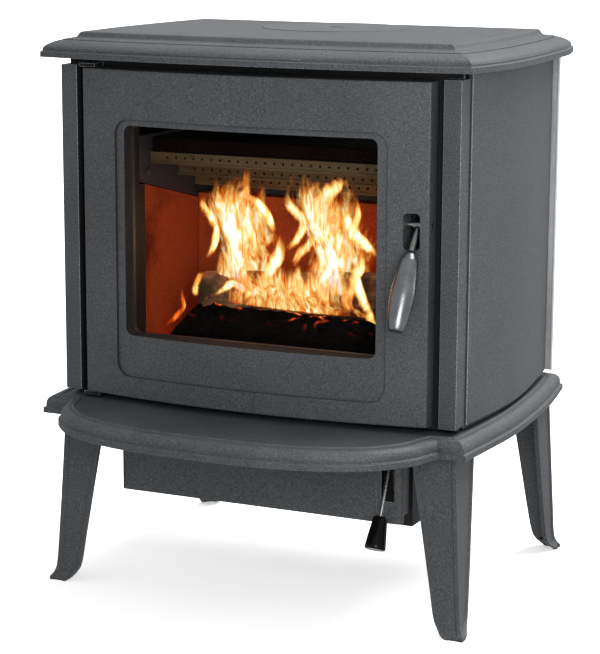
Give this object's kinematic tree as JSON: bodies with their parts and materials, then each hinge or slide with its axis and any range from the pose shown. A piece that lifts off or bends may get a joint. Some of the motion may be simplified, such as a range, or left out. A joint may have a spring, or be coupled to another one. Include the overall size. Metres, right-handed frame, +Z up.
{
  "type": "wood burning stove",
  "caption": "Free-standing cast-iron wood burning stove with a glazed hinged door, ash drawer, air lever, splayed legs and a round lift-off cooking plate.",
  "frame": {"origin": "on the floor under the centre of the bounding box", "axes": "+Z up, the glazed door faces -Y, the door hinge is on the -X side and the flue collar points to +Y"},
  "size_m": [0.6364, 0.6018, 0.7459],
  "materials": {
    "cast_iron": "matt stove paint over cast iron with a fine sandy grain",
    "sheet_steel": "black heat-proof paint on folded sheet steel",
    "heat_shield": "light grey satin coating on sheet steel",
    "bright_steel": "plain bright steel",
    "grip_metal": "dark grey satin metallic",
    "vermiculite": "pressed vermiculite board, dry and slightly crumbly",
    "glass": "clear ceramic glass",
    "rope": "woven glass-fibre rope, grey with soot",
    "knob": "polished black heat-proof plastic"
  },
  "bodies": {
    "stove_body": {"base_plate": "cast_iron", "leg_front_left": "cast_iron", "leg_front_right": "cast_iron", "leg_rear_left": "cast_iron", "leg_rear_right": "cast_iron", "leg_bolt_front_left": "bright_steel", "leg_bolt_front_right": "bright_steel", "leg_bolt_rear_left": "bright_steel", "leg_bolt_rear_right": "bright_steel", "front_frame": "cast_iron", "side_panel_left": "cast_iron", "side_panel_right": "cast_iron", "back_panel": "cast_iron", "rear_heat_shield": "heat_shield", "shield_screw_1": "bright_steel", "shield_screw_2": "bright_steel", "shield_screw_3": "bright_steel", "shield_screw_4": "bright_steel", "top_plate": "cast_iron", "firebox_shell": "sheet_steel", "top_outlet_cover": "cast_iron", "flue_collar": "cast_iron", "floor_brick": "vermiculite", "grate": "cast_iron", "brick_left": "vermiculite", "brick_right": "vermiculite", "brick_rear": "vermiculite", "baffle_bracket_left": "sheet_steel", "baffle_bracket_right": "sheet_steel", "bracket_bolt_left": "sheet_steel", "bracket_bolt_right": "sheet_steel", "baffle_manifold": "sheet_steel", "baffle_board": "vermiculite", "rear_air_duct": "sheet_steel", "front_liner": "cast_iron", "hinge_pin_lower": "bright_steel", "hinge_pin_upper": "bright_steel", "latch_keeper": "sheet_steel", "ash_housing": "sheet_steel", "air_control_cover": "cast_iron", "air_lever_pin": "bright_steel"},
    "door": {"door": "cast_iron", "glass_gasket": "rope", "door_glass": "glass", "glass_retainer": "sheet_steel", "glass_screw_1": "bright_steel", "glass_screw_2": "bright_steel", "glass_screw_3": "bright_steel", "glass_screw_4": "bright_steel", "door_seal": "rope", "handle_pin": "bright_steel"},
    "door_handle": {"handle_lever": "bright_steel", "handle_grip": "grip_metal"},
    "air_control": {"air_lever": "bright_steel", "air_lever_knob": "knob", "air_flap": "sheet_steel"},
    "ash_drawer": {"ash_drawer_front": "cast_iron", "ash_pan": "sheet_steel"},
    "cooking_lid": {"cooking_plate": "cast_iron"}
  },
  "joints": [
    {"name": "door_hinge", "type": "hinge", "parent": "stove_body", "child": "door", "pos_m": [-0.236, -0.13515, 0.4835], "axis": [0, 0, -1], "range_deg": [0, 115]},
    {"name": "handle_pivot", "type": "hinge", "parent": "door", "child": "door_handle", "pos_m": [0.225, -0.13465, 0.523], "axis": [-1, 0, 0], "range_deg": [0, 60]},
    {"name": "air_lever_pivot", "type": "hinge", "parent": "stove_body", "child": "air_control", "pos_m": [0.1845, -0.11115, 0.218], "axis": [-1, 0, 0], "range_deg": [0, 30]},
    {"name": "ash_drawer_slide", "type": "slide", "parent": "stove_body", "child": "ash_drawer", "axis": [0, -1, 0], "range_m": [0, 0.2]},
    {"name": "cooking_plate_lift", "type": "slide", "parent": "stove_body", "child": "cooking_lid", "axis": [0, 0, 1], "range_m": [0, 0.08]}
  ]
}
